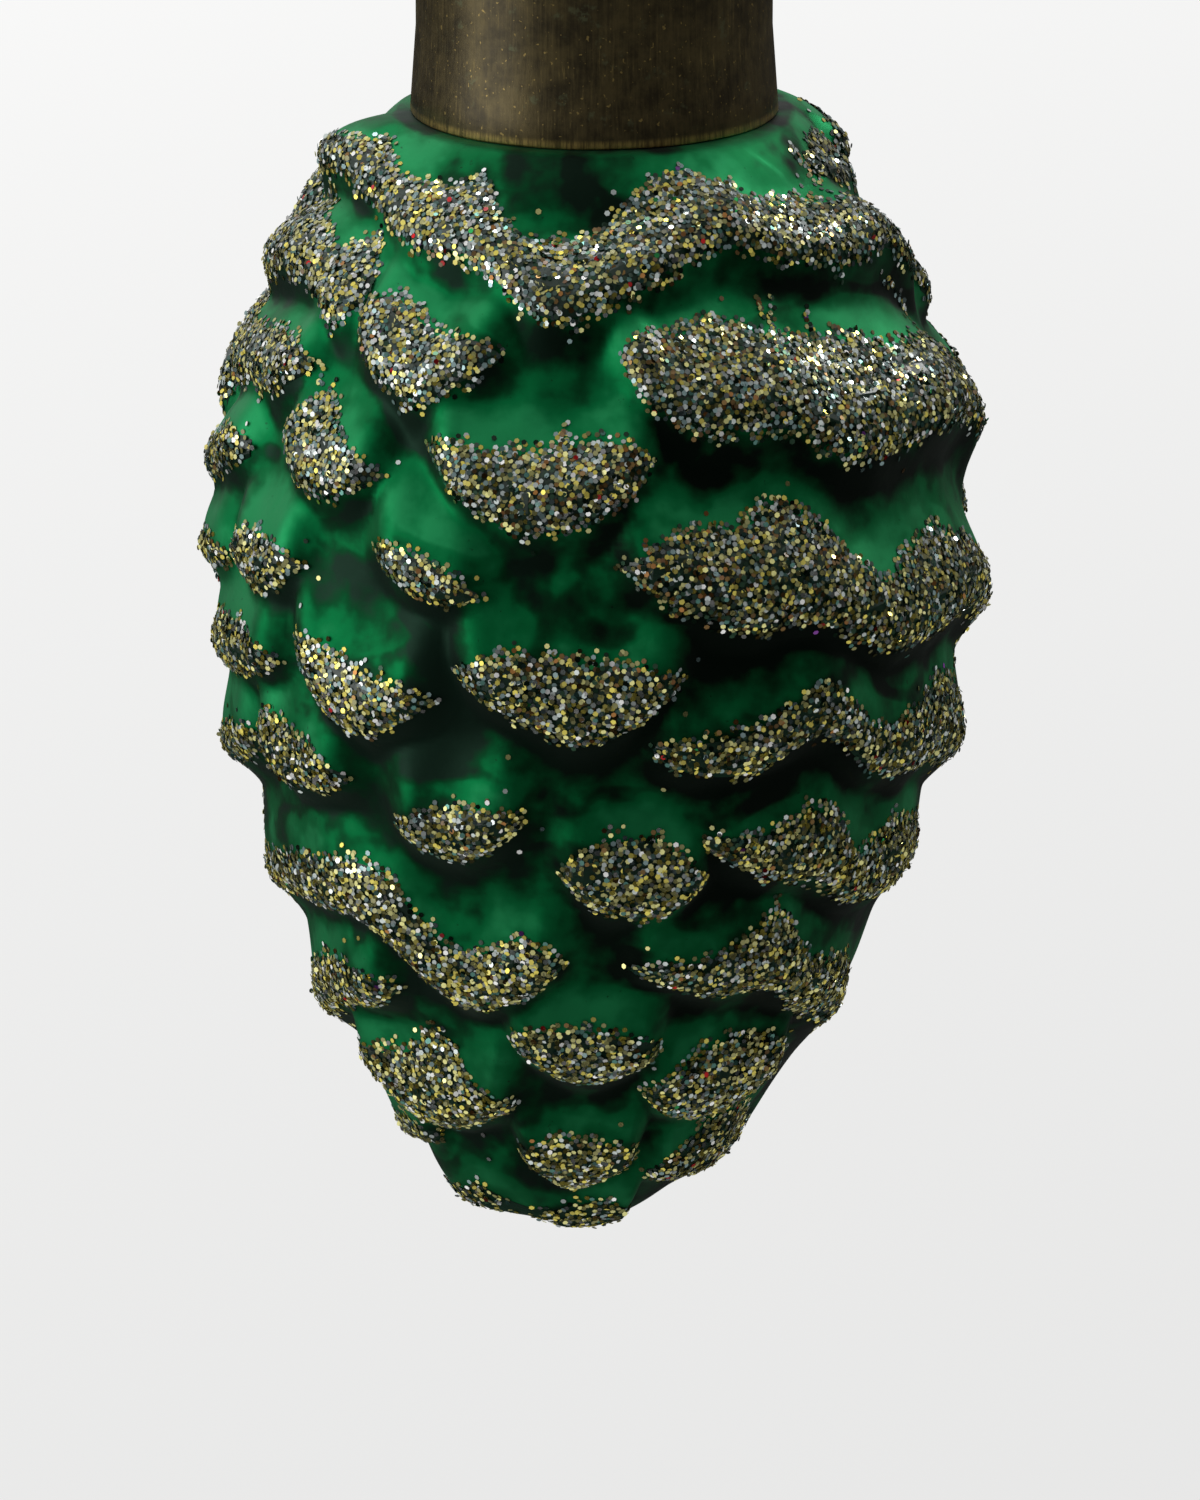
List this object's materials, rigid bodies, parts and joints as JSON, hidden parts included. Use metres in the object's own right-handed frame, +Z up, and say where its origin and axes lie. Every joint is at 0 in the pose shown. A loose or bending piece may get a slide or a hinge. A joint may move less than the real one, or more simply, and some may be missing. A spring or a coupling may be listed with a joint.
{
  "type": "cone christmas ornament",
  "caption": "Hollow blown glass pine cone with glitter-crusted scales, a brass cap cemented over its neck, a split pin eye and a hanging ring.",
  "frame": {"origin": "where a hook bears inside the top of the hanging ring", "axes": "+Z up along the ornament's axis; -Y towards the side shown in the picture; the eye lies in the XZ plane and the ring in the YZ plane"},
  "size_m": [0.0565, 0.057, 0.1123],
  "materials": {
    "glass": "satin green over a silvered inside, cloudy antique mottling",
    "cap_brass": "antiqued brown-black, brushed vertically, bright worn edges",
    "wire_brass": "antiqued drawn wire",
    "cement": "matt set plaster",
    "glitter": "metallised flakes in pale gold, silver, blue grey and bronze set in clear glue"
  },
  "bodies": {
    "ring": {"hanging_ring": "wire_brass"},
    "eye": {"split_pin": "wire_brass"},
    "ornament": {"brass_cap": "cap_brass", "cap_cement": "cement", "glass_body": "glass", "glitter_a_lobe_front": "glitter", "glitter_a_patch_front": "glitter", "glitter_a_shoulder_back": "glitter", "glitter_a_shoulder_front": "glitter", "glitter_b_edge_front": "glitter", "glitter_b_left_front": "glitter", "glitter_b_span_back": "glitter", "glitter_b_wave_back": "glitter", "glitter_b_wave_front": "glitter", "glitter_c_edge_front": "glitter", "glitter_c_left_front": "glitter", "glitter_c_middle_back": "glitter", "glitter_c_middle_front": "glitter", "glitter_c_span_back": "glitter", "glitter_d_edge_front": "glitter", "glitter_d_left_front": "glitter", "glitter_d_small_front": "glitter", "glitter_d_span_back": "glitter", "glitter_d_wave_back": "glitter", "glitter_d_wave_front": "glitter", "glitter_e_edge_front": "glitter", "glitter_e_left_front": "glitter", "glitter_e_middle_back": "glitter", "glitter_e_middle_front": "glitter", "glitter_e_span_back": "glitter", "glitter_f_edge_front": "glitter", "glitter_f_left_front": "glitter", "glitter_f_span_back": "glitter", "glitter_f_wave_back": "glitter", "glitter_f_wave_front": "glitter", "glitter_g_left_back": "glitter", "glitter_g_left_front": "glitter", "glitter_g_middle_back": "glitter", "glitter_g_middle_front": "glitter", "glitter_g_wave_back": "glitter", "glitter_g_wave_front": "glitter", "glitter_h_sweep_back": "glitter", "glitter_h_sweep_front": "glitter", "glitter_h_wave_back": "glitter", "glitter_h_wave_front": "glitter", "glitter_i_left_back": "glitter", "glitter_i_left_front": "glitter", "glitter_i_lower_back": "glitter", "glitter_i_lower_front": "glitter", "glitter_i_middle_back": "glitter", "glitter_i_middle_front": "glitter", "glitter_i_right_back": "glitter", "glitter_i_right_front": "glitter", "glitter_j_edge_front": "glitter", "glitter_j_middle_back": "glitter", "glitter_j_middle_front": "glitter", "glitter_j_right_back": "glitter", "glitter_j_right_front": "glitter", "glitter_k_tip_back": "glitter", "glitter_k_tip_front": "glitter"}
  },
  "joints": [
    {"name": "ring_swing", "type": "hinge", "parent": "ring", "child": "eye", "pos_m": [0, 0, -0.0112], "axis": [0, 1, 0], "range_deg": [-110, 110]},
    {"name": "pin_swivel", "type": "hinge", "parent": "eye", "child": "ornament", "pos_m": [0, 0, -0.01685], "axis": [0, 0, 1], "continuous": true}
  ]
}
